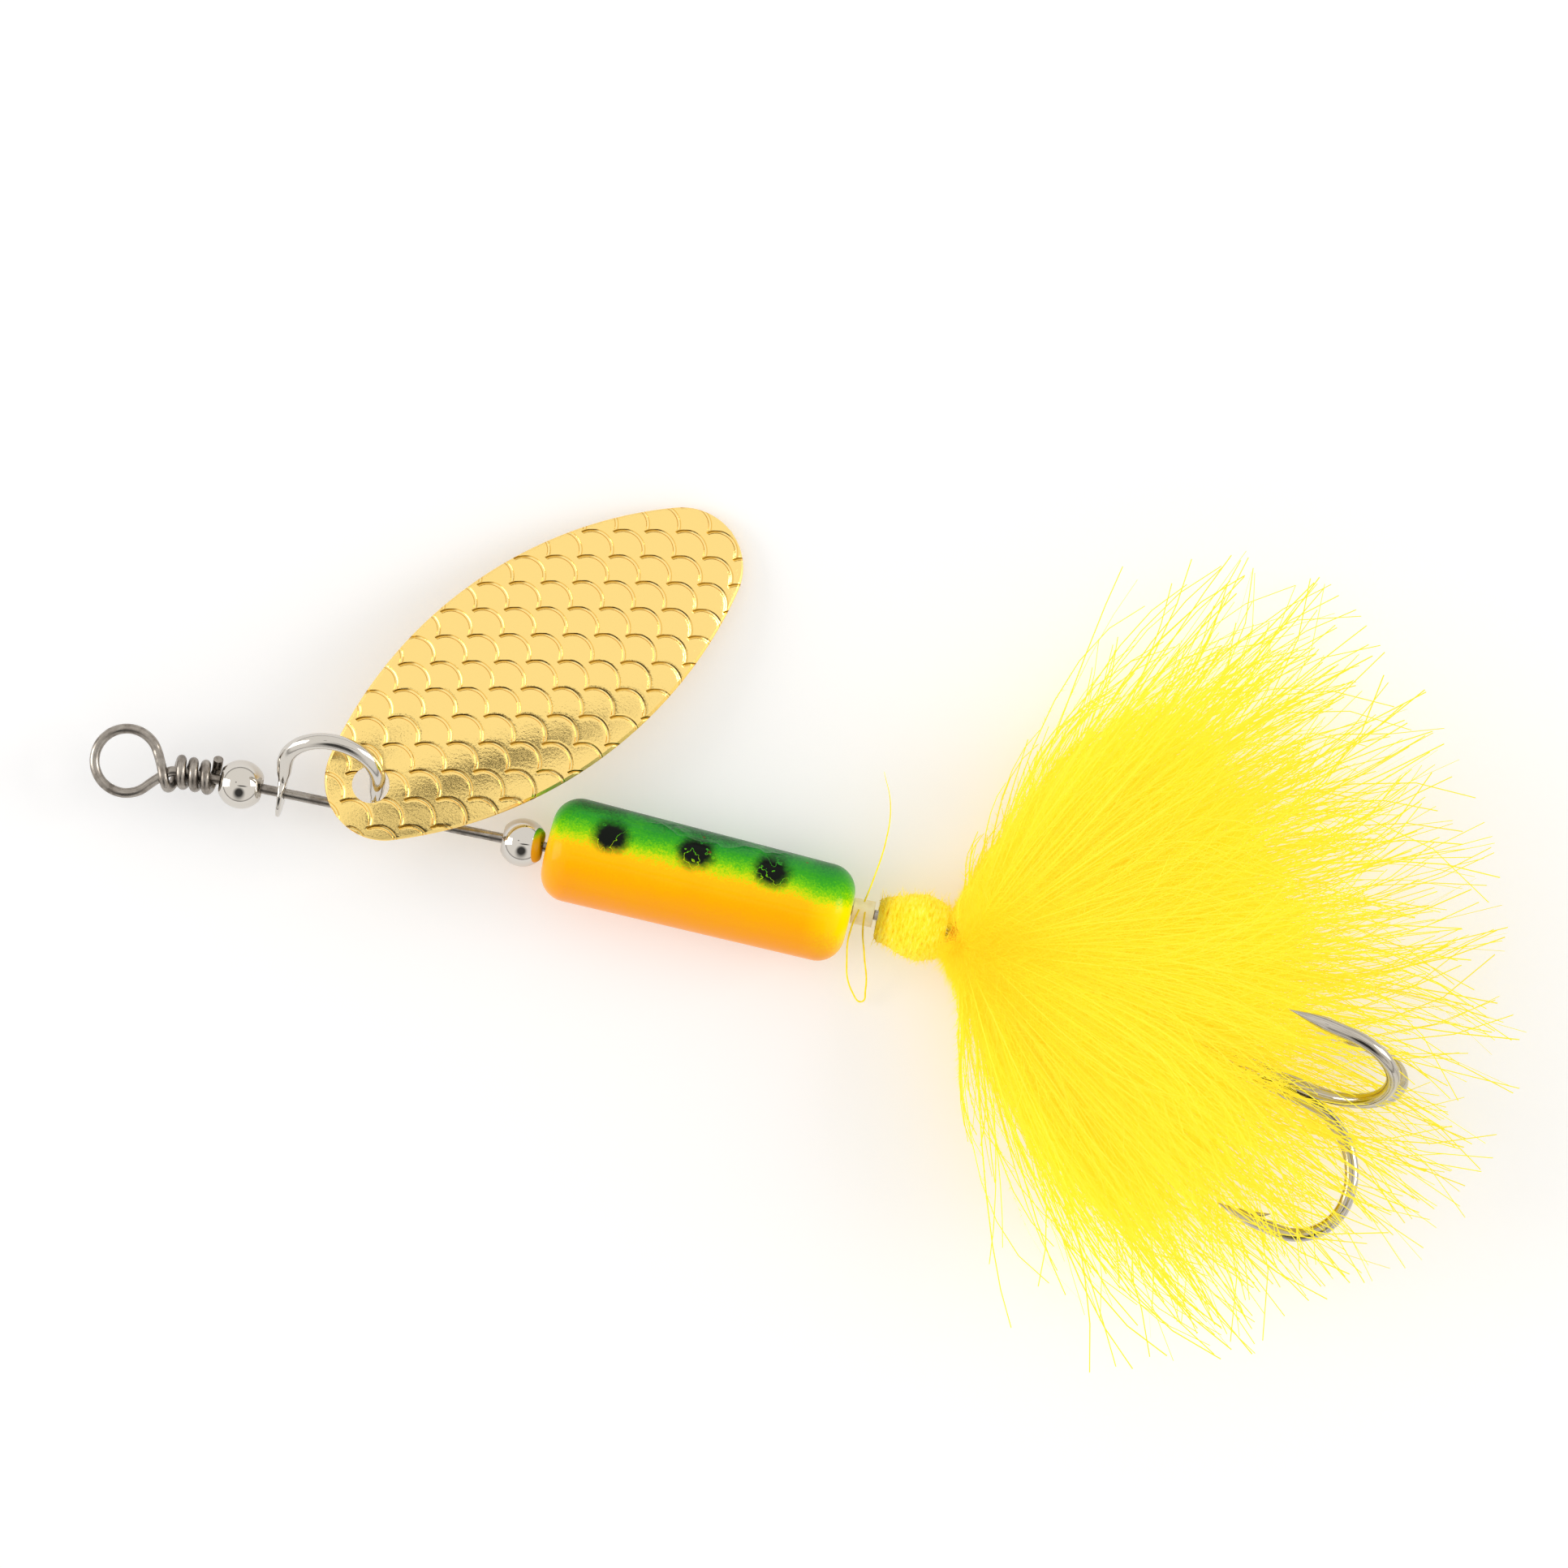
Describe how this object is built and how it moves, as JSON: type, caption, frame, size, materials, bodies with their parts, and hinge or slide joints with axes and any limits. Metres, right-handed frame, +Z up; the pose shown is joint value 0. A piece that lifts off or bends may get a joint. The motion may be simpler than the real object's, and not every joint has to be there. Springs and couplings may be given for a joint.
{
  "type": "inline spinner",
  "caption": "Inline spinner lure: wire shaft with a line-tie eye, beads, a clevis-hung scaled blade, a painted body and a feather-dressed treble hook.",
  "frame": {"origin": "centre of the line-tie eye, on the shaft's axis", "axes": "+X along the shaft from the line-tie eye to the hook, +Z up from the surface the lure lies on and along the eye's hole, +Y to the side the blade leans to"},
  "size_m": [0.1127, 0.0569, 0.0204],
  "materials": {
    "stainless_wire": "drawn wire, dull bright",
    "nickel_bead": "polished nickel plate",
    "nickel_clevis": "bright nickel plate",
    "gold_blade": "gold plated, stamped with fish scales",
    "painted_body": "airbrushed green over yellow and orange, three soft dark spots, clear coat",
    "clear_sleeve": "translucent soft tube",
    "nickel_hook": "nickel plated steel wire",
    "yellow_yarn": "fuzzy wound yarn",
    "tying_thread": "waxed tying thread",
    "yellow_marabou": "fluffy marabou barbs"
  },
  "bodies": {
    "shaft": {"shaft_wire": "stainless_wire", "loop_sleeve": "clear_sleeve"},
    "bead_front": {"bead_front": "nickel_bead"},
    "clevis": {"clevis": "nickel_clevis"},
    "blade": {"blade": "gold_blade"},
    "bead_rear": {"bead_rear": "nickel_bead"},
    "body": {"lure_body": "painted_body"},
    "hook": {"hook_pair": "nickel_hook", "hook_single": "nickel_hook", "yarn_collar": "yellow_yarn", "tying_thread": "tying_thread", "feather_1": "yellow_marabou", "feather_2": "yellow_marabou", "feather_3": "yellow_marabou", "feather_4": "yellow_marabou", "feather_5": "yellow_marabou", "feather_6": "yellow_marabou", "feather_7": "yellow_marabou", "feather_8": "yellow_marabou", "feather_9": "yellow_marabou", "feather_10": "yellow_marabou", "feather_11": "yellow_marabou", "feather_12": "yellow_marabou"}
  },
  "joints": [
    {"name": "bead_front_spin", "type": "hinge", "parent": "shaft", "child": "bead_front", "pos_m": [0.00944, 0, 0], "axis": [1, 0, 0], "continuous": true},
    {"name": "clevis_spin", "type": "hinge", "parent": "shaft", "child": "clevis", "pos_m": [0.01282, 0, 0], "axis": [1, 0, 0], "continuous": true},
    {"name": "blade_swing", "type": "hinge", "parent": "clevis", "child": "blade", "pos_m": [0.02042, 0, 0], "axis": [0, 0.6428, 0.766], "range_deg": [-95, 25]},
    {"name": "bead_rear_spin", "type": "hinge", "parent": "shaft", "child": "bead_rear", "pos_m": [0.03271, 0, 0], "axis": [1, 0, 0], "continuous": true},
    {"name": "body_spin", "type": "hinge", "parent": "shaft", "child": "body", "pos_m": [0.04724, -0.00019, 0], "axis": [0.9992, -0.0401, 0], "continuous": true},
    {"name": "hook_swing", "type": "hinge", "parent": "shaft", "child": "hook", "pos_m": [0.06499, 0, -0.00043], "axis": [0, 0, 1], "range_deg": [-12, 12]}
  ]
}
